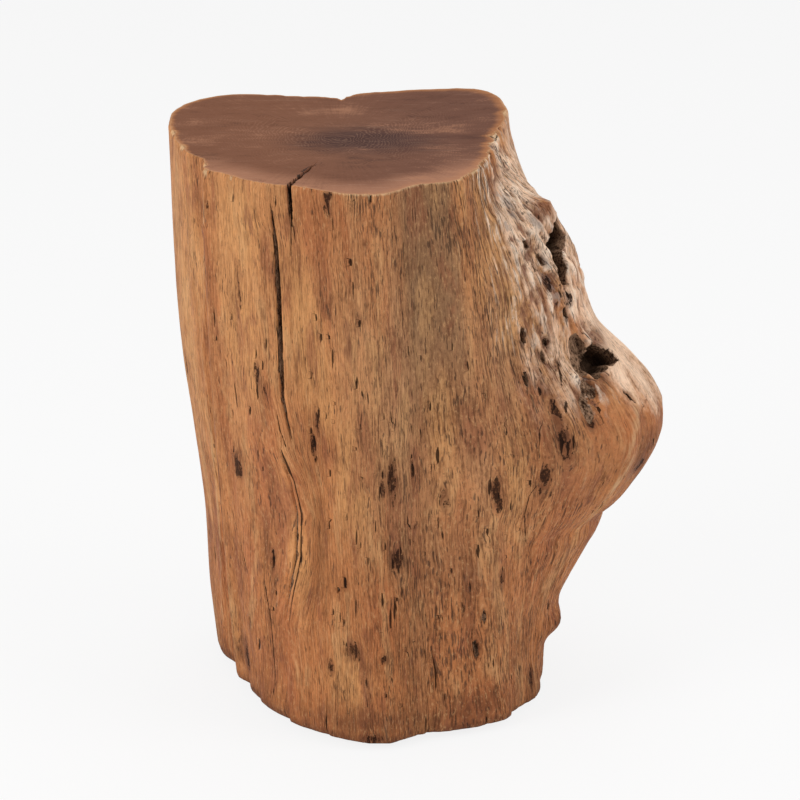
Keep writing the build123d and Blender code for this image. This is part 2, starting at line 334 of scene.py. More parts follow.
for x, y, half_width, half_length, stand_out, slant in lump_places:
    out += stand_out * bell(oval(spot(x, y), half_width, half_length, slant)[0])

# Thin ridges down the trunk, pale along their crests, partly worn and partly painted highlight: the pixels of
# the line, half width, stand-out, paleness
ridge_lines = (
    (((205, 169), (205, 195), (206, 220), (205, 258), (206, 300), (204, 350), (208, 386), (210, 407),
      (214, 434), (217, 480), (221, 539), (225, 630)), 0.0013, 0.0021, 0.6),
    (((208, 386), (210, 407), (214, 434), (217, 480)), 0.0009, 0.0006, 0.85),
    (((176, 146), (176, 170), (173, 190)), 0.001, 0.0006, 0.9),
    (((628, 385), (635, 420), (630, 444), (627, 463), (614, 485), (600, 503)), 0.0036, 0.0034, 0.62),
    (((461, 178), (463, 207), (459, 242), (455, 290)), 0.0022, 0.0014, 0.35),
    (((546, 228), (549, 252), (558, 276)), 0.0012, 0.0014, 0.6),
)
# The pale lines along the ridges are partly wear and partly painted highlight
rub_and_highlight = np.zeros_like(across)
for pixels, half_width, stand_out, paleness in ridge_lines:
    side, share = beside([spot(x, y) for x, y in pixels])
    out += stand_out * bell(side / (1.5 * half_width)) * pointed(share, 0.3)
    worn_and_lit = bell(side / half_width) * pointed(share, 0.35) * (0.75 + 0.8 * long_muscles)
    rub_and_highlight = np.maximum(rub_and_highlight, paleness * worn_and_lit)

# The seat's edge has a notch at its back and chips at its left and right: pixel, half width, half length,
# depth. All round it are small bites where the saw tore it.
chip_places = (
    (341, 98, 0.0026, 0.045, 0.0045), (288, 95, 0.0012, 0.02, 0.0012), (175, 131, 0.005, 0.005, 0.0022),
    (181, 145, 0.006, 0.006, 0.0028), (205, 163, 0.004, 0.007, 0.0024), (204, 171, 0.0024, 0.009, 0.0016),
    (505, 112, 0.0085, 0.007, 0.003), (492, 133, 0.007, 0.007, 0.0022), (230, 177, 0.0012, 0.004, 0.001),
    (470, 168, 0.008, 0.003, 0.0009), (304, 188, 0.0011, 0.002, 0.001), (370, 196, 0.0012, 0.008, 0.0016),
)
under_edge = 1.5
longest_chip = 0.010
chip = np.zeros_like(across)
for x, y, half_width, half_length, deep in chip_places:
    reach = oval((spot(x, y + under_edge)[0], log_length), half_width, half_length)[0]
    hit = ramp(-reach - 0.5 * fibres, -1.1, -0.2)
    out -= deep * hit
    if half_length < longest_chip:
        chip = np.maximum(chip, hit)
at_edge = ramp(upward, log_length - 0.0045, log_length - 0.0008)
out -= 0.0009 * ramp(lump_noise(0.0036, 3.3), 0.05, 0.45) * at_edge

# The foot's edge broke away in steps: pixel, which side is lower, depth, length round the foot, height
foot_steps = (
    (220, 648, -1, 0.0034, 0.01, 0.022), (250, 688, -1, 0.006, 0.016, 0.026),
    (262, 704, -1, 0.003, 0.008, 0.02), (292, 724, -1, 0.0034, 0.012, 0.014),
    (513, 714, 1, 0.003, 0.008, 0.016), (538, 694, 1, 0.003, 0.01, 0.018),
    (330, 738, -1, 0.001, 0.01, 0.01), (426, 733, 1, 0.0016, 0.012, 0.016),
    (487, 724, 1, 0.0014, 0.003, 0.01),
)
over_edge = 2
for x, y, way, deep, length, tall in foot_steps:
    side = np.radians(turn_between(around, spot(x, y - over_edge)[0])) * radii * way
    fading = np.exp(-np.maximum(side, 0) / length)
    out -= deep * fading * ramp(side, -0.0007, 0.0007) * ramp(-upward, -tall, -0.001)

# Rotted hollows: the ovals that one is made of, by pixel, half width, half length and slant, then its depth
# and how far lumps and fibres make its edge ragged. Open knots: pixel, half width, half length, slant, depth.
smooth_edge, uneven_edge, ragged_edge = (0.02, 0.01), (0.07, 0.05), (0.18, 0.05)
hollows = (
    (((559, 233, 0.0155, 0.0112, -10), (555, 247, 0.0085, 0.01, -16), (560, 263, 0.0066, 0.0105, -16),
      (563, 276, 0.0046, 0.008, -16)), 0.024, smooth_edge),
    (((577, 346, 0.009, 0.0095, 0), (579, 363, 0.008, 0.01, 0)), 0.008, ragged_edge),
    (((597, 357, 0.012, 0.0115, 20), (608, 357, 0.009, 0.006, 50), (592, 367, 0.0075, 0.0085, 0)),
     0.026, uneven_edge),
    (((587, 390, 0.0066, 0.011, -10), (586, 410, 0.0052, 0.012, 5)), 0.0024, ragged_edge),
)
open_knots = (
    (521.5, 335, 0.0027, 0.006, 0, 0.01), (525.5, 379, 0.0017, 0.005, 8, 0.008),
    (564.5, 313, 0.0026, 0.005, -20, 0.009), (525, 245, 0.0032, 0.0036, -40, 0.007),
    (539.5, 260, 0.0028, 0.0046, -20, 0.007), (546.5, 342, 0.002, 0.0042, 0, 0.005),
    (543, 357, 0.0014, 0.005, 6, 0.005), (533, 268, 0.0012, 0.0032, -25, 0.004),
    (476, 649, 0.002, 0.0085, -8, 0.004), (484, 617, 0.0018, 0.007, 0, 0.003),
    (338.8, 588.5, 0.0014, 0.0014, 0, 0.006), (629, 397, 0.0011, 0.008, -12, 0.005),
)
hollows += tuple(((tuple(knot),), deep, ragged_edge) for *knot, deep in open_knots)
sight = Vector((0, 0.91, -0.42))
lip_height = 0.0012
join_sharpness = 6
depth = np.zeros_like(across)
shift = np.zeros(smooth_points.shape)


def cut(sunk, way):
    """Sinks the skin by a depth along one way, wherever no other cut is deeper."""
    deeper = sunk > depth
    shift[deeper] = (sunk[..., None] * way)[deeper]
    depth[deeper] = sunk[deeper]


# A hollow goes in between the line of sight and straight into the wood, and its edge stands up in a lip
for ovals, deep, (lump_share, fibre_share) in hollows:
    reaches = [oval(spot(x, y), *oval_size)[0] for x, y, *oval_size in ovals]
    reach = -np.log(sum(np.exp(-join_sharpness * np.minimum(item, 50.0)) for item in reaches))
    reach /= join_sharpness
    ragged = reach + lump_share * knobs + fibre_share * fibres
    outward = surface_axes(spot(*ovals[0][:2]))[3]
    cut(deep * ramp(-ragged, -1.05, -0.72), np.array((sight - outward).normalized()))
    out += min(lip_height, 0.15 * deep) * bell((reach - 1.25) / 0.22)

# The long checks: widest and deepest in the middle of their length, each down one column of the grain
edge_softness = 0.0002
check_reach = 0.118
long_check_width = 0.0044
long_check_depth = 0.022
low_check_width = 0.0011
low_check_depth = 0.006
for path, column, width, deep in (
    (long_check_path, long_check_column, long_check_width, long_check_depth),
    (low_check_path, low_check_column, low_check_width, low_check_depth),
):
    heights = [height for angle, height in path]
    share = (upward - min(heights)) / (max(heights) - min(heights))
    open_share = pointed(share, 0.7)
    aside = np.abs(np.radians(turn_between(across, column)) * check_reach) + 0.0006 * fine_fibres
    gap = ramp(-aside, -0.5 * width * open_share - edge_softness, -0.25 * width * open_share)
    cut(np.where((share > 0) & (share < 1), gap * deep * open_share, 0), -outwards)

# The seat's check: a wedge that is open at the rim and closes inwards on the seat and downwards on the side
seat_check_angle = 250.2
seat_check_length = 0.049
seat_check_drop = 0.076
seat_check_width = 0.0026
seat_check_turn = 15
check_radius = float(trunk_radius(np.array(seat_check_angle), np.array(log_length)))
check_direction = spoke(seat_check_angle, 1.0, 0.0)


def check_floor(share):
    """The wedge's floor, as how far in from the rim and how far below the seat it lies."""
    return seat_check_length * share, seat_check_drop * (1 - share * share)


aside = np.radians(turn_between(around, seat_check_angle)) * check_radius
share = np.clip((upward - log_length + seat_check_drop) / seat_check_drop, 0, 1)
opening = 0.5 * seat_check_width * ramp(share, 0.60, 0.92)
beside_check = np.abs(aside + 0.0004 * fibres)
in_seat_check = ramp(opening - beside_check, -edge_softness, edge_softness) * (share > 0.62)
floor_in, floor_down = check_floor(0.5 * share)
drop = (log_length - upward) - floor_down
seat_shift = floor_in[..., None] * -check_direction + drop[..., None] * np.array((0, 0, 1.0))
shift = np.where(in_seat_check[..., None] > 0, in_seat_check[..., None] * seat_shift, shift)
depth = np.maximum(depth, in_seat_check * floor_in)

# Hairline checks, by the pixels they run through, and their half width
hairlines = (
    (((204, 190), (205, 215), (205, 264)), 0.0008), (((276, 409), (280, 430), (288, 451)), 0.0008),
    (((281, 448), (288, 466), (294, 480)), 0.0009), (((288, 202), (290, 227)), 0.0005),
    (((293, 224), (296, 245)), 0.0003), (((291, 215), (291, 258)), 0.0004),
    (((240, 540), (249, 576)), 0.0006), (((228, 500), (240, 540)), 0.0003),
    (((287, 416), (292, 439)), 0.0006),
    (((264, 561), (265, 586), (269, 610), (272, 631), (274, 657), (276, 675), (275, 703)), 0.0006),
    (((543, 418), (539, 432), (538, 458)), 0.0004),
    (((541, 481), (529, 496), (524, 515), (525, 545)), 0.0005),
    (((432, 644), (432, 655), (436, 672), (436, 692)), 0.0008), (((425, 715), (426, 732)), 0.0009),
    (((328, 694), (328, 733)), 0.0007), (((486, 716), (487, 724)), 0.0008),
    (((647, 388), (641, 412), (639, 423)), 0.0005), (((237, 264), (238, 282), (240, 303)), 0.0005),
    (((226, 358), (228, 370)), 0.0004), (((218, 460), (222, 520)), 0.0004),
    (((354, 199), (354, 204)), 0.0004), (((407, 514), (407.5, 523), (412, 530)), 0.0007),
    (((472, 624), (472, 640), (475, 660)), 0.0005), (((333, 214), (333, 233)), 0.0006),
)

# Short dark slits where fibres have torn out: column, top and bottom pixel, half width and, if any, lean
slits = (
    (382.4, 592, 609, 0.0011), (391, 606, 630, 0.0008), (395, 596, 623, 0.001), (397, 596, 602, 0.0008),
    (356, 597, 619, 0.0006), (344, 618, 628, 0.0007), (334, 608, 616, 0.0007), (345, 576, 589, 0.0012),
    (479, 544, 559, 0.0012), (488, 528, 536, 0.0008), (490, 478, 497, 0.0009), (507, 533, 543, 0.0006),
    (547, 597, 610, 0.0011, -1), (485, 391, 400, 0.0008, 1), (488, 313, 322, 0.0008, 1),
    (506, 428, 437, 0.0006), (558, 361, 388, 0.0008, 3), (538, 385, 397, 0.001, 3), (409, 344, 358, 0.0006),
    (438, 447, 465, 0.0011), (395, 422, 432, 0.0008), (391, 410, 424, 0.0007, 1), (413, 463, 480, 0.0009),
    (412, 452, 461, 0.0006), (383, 470, 480, 0.001), (380, 486, 500, 0.0007), (330.5, 469, 477, 0.0009),
    (329.5, 333, 341, 0.0008, 0.5), (333, 347, 370, 0.0009), (314, 434, 449, 0.0009, 1),
    (316, 455, 463, 0.001), (311, 427, 435, 0.0008), (319, 407, 421, 0.0009, -1), (321, 333, 343, 0.001),
    (316, 312, 322, 0.0008, 1), (313, 371, 380, 0.0009, -2), (232, 313, 321, 0.0007),
    (214, 308, 328, 0.0008, 1), (217, 335, 343, 0.0006), (234, 381, 409, 0.0008, 4),
    (256, 349, 360, 0.0008), (263, 360, 371, 0.0007), (266, 338, 352, 0.0008), (257, 382, 400, 0.001, 1),
    (251, 405, 415, 0.0008), (233, 409, 419, 0.0008), (259, 445, 463, 0.0005), (264, 464, 472, 0.0008),
    (273, 548, 570, 0.0011), (276, 589, 597, 0.0008), (273, 606, 613, 0.0012), (250, 613, 630, 0.0009),
    (260, 638, 650, 0.001), (276, 198, 207, 0.0006), (233, 194, 203, 0.0006), (194, 218, 225, 0.0005),
    (350, 257, 267, 0.0014, 1), (353, 280, 300, 0.0007, 1), (360, 319, 328, 0.0012),
    (357, 376, 391, 0.0011), (370, 194, 205, 0.0009), (507, 555, 560, 0.001), (452, 567, 575, 0.0007),
    (385, 540, 552, 0.0007, 1), (400, 545, 556, 0.0007, 1), (408, 556, 580, 0.0007),
    (392, 556, 570, 0.0007, 1), (402, 585, 600, 0.0006), (368, 555, 567, 0.0006), (376, 520, 534, 0.0006),
    (357, 528, 546, 0.0006), (361, 541, 549, 0.0008), (497, 131, 149, 0.0012, 1),
    (507, 150, 171, 0.0008, 3), (532, 192, 199, 0.0012, 3), (548, 275, 290, 0.0012, 4),
    (559, 288, 300, 0.0009, 3), (567, 290, 300, 0.0009, 2), (570, 302, 309, 0.0008, 2),
    (565, 400, 414, 0.0012, 1), (554, 398, 412, 0.0009), (597, 406, 414, 0.0014, 3),
    (654, 437, 447, 0.001, -1), (560, 432, 456, 0.001, 1), (567, 440, 458, 0.001, 1),
    (573, 434, 450, 0.0008, 1), (530, 479, 487, 0.0009), (467, 361, 372, 0.0012, 2),
)
seeded = np.random.default_rng(7)
dark_lines = [([spot(x, y) for x, y in pixels], half) for pixels, half in hairlines]
dark_lines += [(long_check_path, 0.0019), (low_check_path, 0.0007)]
for x, top, bottom, half, *lean in slits:
    dark_lines.append(([spot(x, top), spot(x + sum(lean), bottom)], half))

# The low front carries many more short slits, and the sides that no photograph shows have them too
front_slits = 110
back_slits = 70
back_slits_top = 0.445
for number in range(front_slits):
    angle, height = seeded.uniform(256, 352), 0.02 + 0.30 * seeded.uniform(0, 1) ** 1.4
    tall, lean = seeded.uniform(0.003, 0.011), seeded.uniform(-0.3, 0.3)
    dark_lines.append(([(angle, height), (angle + lean, height + tall)], seeded.uniform(0.0003, 0.0007)))
for number in range(back_slits):
    angle, height = seeded.uniform(12, 172), seeded.uniform(0.02, 0.43)
    tall, lean = seeded.uniform(0.006, 0.022) * (3 if number % 9 == 0 else 1), seeded.uniform(-1.0, 1.0)
    top = (angle + lean, min(height + tall, back_slits_top))
    dark_lines.append(([(angle, height), top], seeded.uniform(0.0004, 0.0011)))

# Each point keeps its distance beside a line and the line's half width there. Lines that run close are kept
# apart in layers, and only the wider ones are cut in.
line_layers = 4
narrowest_cut = 0.0008
far_from_lines = 0.01
line_sides = np.full((line_layers,) + across.shape, far_from_lines)
line_widths = np.zeros((line_layers,) + across.shape)
for places, half in dark_lines:
    side, share = beside(places)
    near = ramp(-np.abs(side), -0.0036, -0.0024) * (share > -0.05) * (share < 1.05)
    for sides, widths in zip(line_sides, line_widths):
        if not ((widths > 0) & (near > 0)).any():
            break
    sides[near > 0] = side[near > 0]
    widths[near > 0] = (half * pointed(share) * near)[near > 0] + 1e-6
    if half >= narrowest_cut:
        out -= 0.6 * half * bell(side / half / 1.3) * pointed(share)

# Patches of bark left in the wood: pixel, half width, half length
fleck_places = (
    (326, 203, 0.003, 0.01), (327, 196, 0.004, 0.0045), (239, 292, 0.0016, 0.013), (257, 372, 0.003, 0.01),
    (236, 462, 0.0052, 0.013), (241, 472, 0.0026, 0.009), (265, 390, 0.0014, 0.006),
    (317, 425, 0.0026, 0.01), (313, 445, 0.002, 0.009), (393, 480, 0.0036, 0.022),
    (382, 490, 0.0022, 0.008), (345, 583, 0.0013, 0.006), (412, 472, 0.0016, 0.01),
    (445, 500, 0.0044, 0.011), (496, 490, 0.0048, 0.011), (499, 504, 0.0036, 0.007),
    (545, 481, 0.005, 0.016), (503, 578, 0.0028, 0.009), (565, 446, 0.007, 0.015), (590, 424, 0.004, 0.008),
    (556, 412, 0.004, 0.018), (353, 652, 0.007, 0.009), (332, 668, 0.0026, 0.008), (372, 740, 0.009, 0.004),
    (248, 655, 0.004, 0.017), (385, 660, 0.003, 0.004), (476, 649, 0.0026, 0.009), (547, 345, 0.003, 0.008),
    (548, 283, 0.0045, 0.009), (570, 300, 0.006, 0.007), (541, 390, 0.003, 0.008), (640, 466, 0.007, 0.007),
    (530, 678, 0.003, 0.012), (497, 139, 0.0022, 0.008), (273, 560, 0.0016, 0.009),
    (413, 527, 0.003, 0.0026), (466, 366, 0.002, 0.004), (208, 206, 0.001, 0.004), (397, 560, 0.005, 0.01),
)
back_flecks = 26
bark = [(spot(x, y), half_width, half_length) for x, y, half_width, half_length in fleck_places]
for number in range(back_flecks):
    place = (seeded.uniform(14, 172), seeded.uniform(0.02, 0.43))
    bark.append((place, seeded.uniform(0.0015, 0.0055), seeded.uniform(0.004, 0.018)))
fleck = np.zeros_like(across)
for place, half_width, half_length in bark:
    fleck = np.maximum(fleck, ramp(-oval(place, half_width, half_length)[0], -1.6, -0.2))
out -= 0.0008 * fleck * (0.6 + np.clip(2 * fibres, -0.6, 0.6))

# Where the colours lie, as pixel, half width, half length and strength. The burl's top is pale, partly
# bleached wood and partly painted light where it faces up, and its crests and lower left stay red-brown.
tanned_places = (
    (612, 418, 0.026, 0.024), (634, 434, 0.02, 0.02), (598, 392, 0.012, 0.016), (590, 410, 0.014, 0.02),
)
pale_places = ((575, 300, 0.014, 0.016), (530, 238, 0.014, 0.014), (562, 365, 0.006, 0.02))
shaded_places = (
    (551, 416, 0.015, 0.028), (538, 398, 0.008, 0.018), (566, 436, 0.012, 0.022), (541, 208, 0.009, 0.01),
)
tone = ramp(around, 256, 292) * ramp(-around, -350, -325)
# Olive-brown down the front valley: partly the wood's colour, partly painted shade where the valley turns
# from the lamps
olive_and_valley_shade = ramp(around, 287, 298) * ramp(-around, -316.5, -311) * ramp(upward, 0.20, 0.36)
# Paler where the skin faces up: partly bleached wood, partly painted top light on the burl
bleach_and_top_light = ramp(outwards[..., 2] + 0.25 * broad_waves, -0.05, 0.60) * ramp(upward, 0.16, 0.26)
bleach_and_top_light *= np.maximum(ramp(around, 320, 338), ramp(-around, -70, -30))
for place in tanned_places:
    bleach_and_top_light *= 1 - 0.95 * marked((place,))
bleach_and_top_light = np.maximum(bleach_and_top_light, 0.9 * rough * ramp(upward, 0.30, 0.38))
bleach_and_top_light = np.maximum(bleach_and_top_light, 0.95 * marked(pale_places))
shaded = marked(shaded_places, lambda reach: bell(reach / 1.15), -10)
bleach_and_top_light *= 1 - 0.85 * shaded
gnarl = np.where(gnarl < 0, gnarl * (1 - 0.80 * shaded), gnarl)

# Wood weathered grey, wood stained dark, golden and red-brown zones, and where the pores crowd. Some of the
# dark and red-brown places are painted shade, and the wood is darker towards the foot all round.
weathered_places = (
    (493, 150, 0.003, 0.011), (506, 202, 0.004, 0.016), (512, 215, 0.003, 0.008), (535, 222, 0.004, 0.01),
    (506, 225, 0.003, 0.005), (548, 282, 0.005, 0.01), (556, 296, 0.005, 0.008), (578, 365, 0.006, 0.011),
    (583, 385, 0.006, 0.008), (544, 262, 0.003, 0.008), (260, 643, 0.0012, 0.005),
    (250, 622, 0.0012, 0.008),
)
# Painted shade among these: the long ovals at x 214 and 224 on the left ridge's shadow side, those at x 638
# to 645 under the burl's crest, and the one at 598, 338 above the lower hollow
stained_and_shaded_places = (
    (267, 545, 0.006, 0.03, 0.8), (246, 655, 0.007, 0.024, 0.8), (268, 690, 0.008, 0.018, 0.6),
    (300, 720, 0.02, 0.01, 0.5), (556, 425, 0.006, 0.024, 0.9), (572, 455, 0.009, 0.02, 0.6),
    (638, 468, 0.008, 0.01, 0.9), (530, 682, 0.005, 0.014, 0.9), (372, 738, 0.016, 0.006, 1.0),
    (435, 722, 0.006, 0.012, 0.8), (475, 718, 0.02, 0.008, 0.7), (392, 482, 0.008, 0.024, 0.7),
    (497, 495, 0.006, 0.014, 0.5), (545, 478, 0.008, 0.018, 0.5), (365, 243, 0.003, 0.003, 0.8),
    (358, 322, 0.005, 0.01, 0.6), (268, 170, 0.002, 0.01, 0.6), (240, 458, 0.006, 0.016, 0.7),
    (541, 212, 0.009, 0.009, 0.9), (330, 210, 0.004, 0.02, 0.6), (214, 320, 0.004, 0.075, 0.55),
    (224, 440, 0.004, 0.05, 0.55), (470, 585, 0.009, 0.034, 0.7), (322, 250, 0.01, 0.06, 0.4),
    (585, 410, 0.01, 0.02, 0.6), (430, 570, 0.03, 0.034, 0.45), (644, 456, 0.015, 0.024, 0.9),
    (645, 474, 0.012, 0.014, 0.8), (598, 338, 0.016, 0.01, 0.7), (600, 384, 0.013, 0.009, 0.95),
    (240, 650, 0.006, 0.01, 0.8), (232, 300, 0.003, 0.03, 0.5), (262, 400, 0.004, 0.036, 0.6),
    (316, 440, 0.005, 0.03, 0.6), (272, 570, 0.003, 0.03, 0.7), (255, 690, 0.012, 0.012, 0.6),
    (500, 705, 0.03, 0.012, 0.6), (474, 708, 0.045, 0.017, 0.75), (575, 500, 0.03, 0.02, 0.35),
    (365, 724, 0.05, 0.013, 0.75), (525, 440, 0.014, 0.03, 0.55), (553, 437, 0.019, 0.036, 0.5),
    (545, 320, 0.008, 0.014, 0.6), (618, 468, 0.016, 0.014, 0.35),
)
gold_places = (
    (190, 230, 0.012, 0.07), (240, 225, 0.018, 0.04), (240, 330, 0.018, 0.05), (324, 390, 0.007, 0.04),
    (300, 560, 0.008, 0.04), (470, 240, 0.008, 0.05), (484, 225, 0.014, 0.04), (212, 440, 0.006, 0.06),
    (350, 480, 0.012, 0.04), (500, 250, 0.01, 0.04), (515, 470, 0.01, 0.05), (350, 680, 0.02, 0.02),
    (440, 420, 0.012, 0.03), (305, 330, 0.01, 0.06), (232, 625, 0.006, 0.03), (190, 330, 0.01, 0.07),
    (204, 470, 0.007, 0.05),
)
# The long ovals at x 214 and 224 and the one at 650, 445 are painted shade, beside the left ridge and right
# of the burl's crest
ruddy_and_shade_places = (
    (312, 228, 0.012, 0.034), (262, 480, 0.012, 0.05), (285, 645, 0.01, 0.05), (252, 570, 0.008, 0.04),
    (186, 180, 0.004, 0.04), (214, 300, 0.005, 0.07), (224, 420, 0.006, 0.06), (296, 470, 0.006, 0.04),
    (345, 235, 0.003, 0.05), (222, 560, 0.006, 0.04), (630, 440, 0.012, 0.02), (600, 430, 0.014, 0.02),
    (560, 520, 0.014, 0.04), (480, 700, 0.03, 0.016), (540, 560, 0.01, 0.05), (270, 420, 0.005, 0.05),
    (380, 620, 0.012, 0.04), (650, 445, 0.006, 0.03),
)
dense_places = (
    (398, 562, 0.013, 0.032), (395, 485, 0.01, 0.026), (455, 230, 0.02, 0.05), (480, 260, 0.016, 0.06),
    (380, 230, 0.014, 0.03), (500, 320, 0.02, 0.05), (460, 640, 0.03, 0.03), (420, 600, 0.02, 0.03),
)


def soft(reach):
    """A wide, soft mark."""
    return bell(reach / 1.2)


weather = marked(weathered_places, lambda reach: ramp(-reach, -1.8, -0.1), -20)
# Darker towards the foot all round, most in its lowest centimetre and a half
stain_and_shade = 0.35 * ramp(-upward, -0.050, -0.002) + 0.7 * ramp(-upward, -0.014, 0.0)
stain_and_shade = np.maximum(stain_and_shade * (0.8 + 0.6 * broad_waves), marked(stained_and_shaded_places, soft))
burl = ramp(radii, 0.150, 0.200)
# The front of the seat's edge is painted pale, partly sapwood and partly painted highlight on the eased
# corner; chips show pale fresh wood
rim = ramp(upward, log_length - 0.0016, log_length - 0.0003) * ramp(around + 25 * fibres, 258, 275)
rim *= ramp(-around, -372, -358)
chipped = chip * ramp(upward, log_length - 0.008, log_length - 0.002)
rub_and_highlight = np.maximum(rub_and_highlight, np.maximum(0.55 * rim, 1.3 * chipped))
marks = {
    "depth": depth, "fleck": fleck, "tone": tone, "olive_and_valley_shade": olive_and_valley_shade, "bleach_and_top_light": bleach_and_top_light, "weather": weather,
    "rub_and_highlight": rub_and_highlight, "coarse": coarse, "gnarl": gnarl, "rough": rough, "stain_and_shade": stain_and_shade, "burl": burl,
    "gold": marked(gold_places, soft), "ruddy_and_shade": marked(ruddy_and_shade_places, soft), "dense": marked(dense_places),
    "ring": np.ones_like(across),
}
for number in range(line_layers):
    marks[f"line_side_{number}"] = line_sides[number]
    marks[f"line_width_{number}"] = line_widths[number]

# The fibres' own pattern is drawn on the skin laid flat: round it by the grain, along it by its true length,
# a little wavy, and spread round each knot and patch of bark
spread_patches = 40
widest_spread = 0.004
flat_turn = np.radians(across) * grain_radius
flat_turn += 0.0011 * lump_noise(0.030, 2.7) + 0.0004 * lump_noise(0.011, 8.8)
spreads = [(spot(*ovals[0][:2]), *ovals[0][2:], 0.7, 1.9) for ovals, *others in hollows]
for place, half_width, half_length in bark[:spread_patches]:
    spreads.append((place, min(half_width, widest_spread), half_length, 0, 0.6, 1.7))
for place, half_width, half_length, slant, strength, softness in spreads:
    reach, side = oval(place, half_width, half_length, slant)
    flat_turn -= strength * side * half_width * bell(reach / softness)
steps_up = np.linalg.norm(np.diff(smooth_points, axis=0), axis=-1)
flat_height = np.concatenate((np.zeros((1, across.shape[1])), np.cumsum(steps_up, axis=0)))
flat_points = spoke(np.degrees(flat_turn / grain_radius), grain_radius, flat_height)

# The sawn edges are eased by hand, and the whole skin stays just inside the solid's own box
seat_easing = (0.0009, 0.0004, 0.0001)
foot_easing = (0.0012, 0.0005, 0.0001)
chip_sink = 0.0016
box_gap = 0.0001
seat_height = foot_height + log_length
plain_points = smooth_points + out[..., None] * outwards * (1 - ramp(depth, 0.002, 0.006))[..., None]
spokes = spoke(around, 1.0, 0.0)
for number, inward in enumerate(seat_easing):
    plain_points[-1 - number] -= inward * spokes[-1 - number]
for number, inward in enumerate(foot_easing):
    plain_points[number] -= inward * spokes[number]
plain_points[..., 2] = np.clip(plain_points[..., 2], foot_height, seat_height)
plain_points[-1, :, 2] = seat_height - chip_sink * chip[-1]
plain_points[0, :, 2] = foot_height
box_low, box_high = (np.array(corner) for corner in cad_box)
skin_points = np.clip(plain_points + shift, box_low + box_gap, box_high - (box_gap, box_gap, 0))

# The skin is a sheet of quads wrapped round the trunk and closed down its back, then capped at both ends
log_mesh = bmesh.new()
column_layer = log_mesh.verts.layers.int.new("column")
row_layer = log_mesh.verts.layers.int.new("row")
grain_layer = log_mesh.verts.layers.float_vector.new("grain")
mark_layers = {name: log_mesh.verts.layers.float.new(name) for name in marks}
last_column, last_row = len(column_angles) - 1, len(row_heights) - 1
bmesh.ops.create_grid(log_mesh, x_segments=last_column, y_segments=last_row, size=1)
for vert in log_mesh.verts:
    column = round((vert.co.x + 1) / 2 * last_column)
    row = round((vert.co.y + 1) / 2 * last_row)
    vert[column_layer], vert[row_layer] = column % last_column, row
    vert.co = skin_points[row, column % last_column]
    vert[grain_layer] = flat_points[row, column]
    for name, layer in mark_layers.items():
        vert[layer] = marks[name][row, column]
bmesh.ops.remove_doubles(log_mesh, verts=log_mesh.verts, dist=1e-6)

# The two sawn ends: rings that close in on the pith, by their share of the way out, with the check let down
# into the seat's, where it wanders from side to side
seat_rings = (0.996, 0.985, 0.96, 0.93, 0.9, 0.86, 0.82, 0.78, 0.73, 0.68, 0.62, 0.56, 0.5, 0.38, 0.18)
seat_check_wander = (
    0.0, 0.0003, -0.0006, 0.0005, -0.0009, 0.0006, 0.0014, 0.0004, 0.0012, 0.002, 0.0011, 0.0019, 0.002,
    0.002, 0.002,
)
foot_rings = (0.97, 0.8, 0.45)
seat_middle = Vector((pith(log_length), 0, seat_height))
foot_middle = Vector((pith(0), 0, foot_height))


def seat_point(column, share, number):
    """A point of the seat and its depth, let down where it lies in the seat's check."""
    pith_point = np.array((pith(log_length), 0, seat_height))
    rim_point = plain_points[last_row, column].copy()
    rim_point[2] = seat_height
    point = pith_point + (rim_point - pith_point) * share
    turn = turn_between(around[last_row, column], seat_check_angle)
    radius = np.linalg.norm(point - pith_point)
    inward = check_radius - radius
    if abs(turn) > seat_check_turn or inward > seat_check_length:
        return point, 0.0
    in_share = max(inward, 0) / seat_check_length
    half = 0.5 * seat_check_width * (1 - in_share) ** 0.7
    aside = math.radians(turn) * radius - seat_check_wander[number]
    inside = float(ramp(half - abs(aside), -edge_softness, edge_softness))
    floor_in, floor_down = check_floor(0.5 + 0.5 * in_share)
    moved = check_direction * min(inward - floor_in, 0)
    return point + inside * (moved - np.array((0, 0, floor_down))), inside * floor_down


def foot_point(column, share, number):
    """A point of the sawn foot, which has no depth."""
    return Vector(plain_points[0, column]).lerp(foot_middle, 1 - share), 0.0


def cap(row, rings, centre, material, place):
    """Closes a sawn end with rings of faces, and a last one that meets on the pith."""
    open_edges = [edge for edge in log_mesh.edges if edge.is_boundary]
    edges = [edge for edge in open_edges if all(vert[row_layer] == row for vert in edge.verts)]
    for number, share in enumerate(rings + (0.0,)):
        grown = bmesh.ops.extrude_edge_only(log_mesh, edges=edges)["geom"]
        verts = [item for item in grown if isinstance(item, bmesh.types.BMVert)]
        edges = [item for item in grown if isinstance(item, bmesh.types.BMEdge) and item.is_boundary]
        for face in (item for item in grown if isinstance(item, bmesh.types.BMFace)):
            face.material_index = material
        for vert in verts:
            vert[mark_layers["ring"]] = share
            vert.co, vert[mark_layers["depth"]] = place(vert[column_layer], share, number)
    bmesh.ops.pointmerge(log_mesh, verts=verts, merge_co=centre)


cap(last_row, seat_rings, seat_middle, 1, seat_point)
cap(0, foot_rings, foot_middle, 2, foot_point)
bmesh.ops.recalc_face_normals(log_mesh, faces=log_mesh.faces)
for face in log_mesh.faces:
    face.smooth = True


def put_in_scene(name, mesh):
    """Makes a finished mesh an object of the scene."""
    data = bpy.data.meshes.new(name)
    mesh.to_mesh(data)
    mesh.free()
    piece = bpy.data.objects.new(name, data)
    bpy.context.scene.collection.objects.link(piece)
    return piece


log = put_in_scene("log", log_mesh)


def paint(red, green, blue):
    """A colour as the eye sees it, from 0 to 255, in the linear light that a shader takes."""
    shares = [value / 255 for value in (red, green, blue)]
    return tuple(s / 12.92 if s <= 0.04045 else ((s + 0.055) / 1.055) ** 2.4 for s in shares) + (1.0,)


